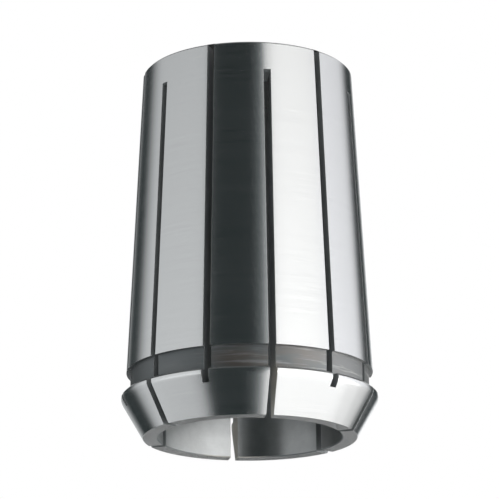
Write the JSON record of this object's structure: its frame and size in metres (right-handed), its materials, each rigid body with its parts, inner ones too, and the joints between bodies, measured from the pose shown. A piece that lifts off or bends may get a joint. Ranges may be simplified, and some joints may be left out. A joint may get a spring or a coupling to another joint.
{
  "type": "spring collet",
  "caption": "One-piece spring collet with a long slow outer taper, a short steep nose cone, an extraction groove, a straight bore and narrow slots sawn from both ends in turn.",
  "frame": {"origin": "centre of the nose face, on the collet's axis", "axes": "+Z along the collet's axis from the nose face to the small end; one slot sawn from the nose lies towards -Y"},
  "size_m": [0.035, 0.035, 0.052],
  "materials": {
    "ground_steel": "hardened spring steel, ground bright round its circumference on the taper, nose cone, collar and bore; the extraction groove is left dark as hardened, and the slot walls as sawn"
  },
  "bodies": {
    "root": {"spring_collet": "ground_steel"}
  },
  "joints": []
}
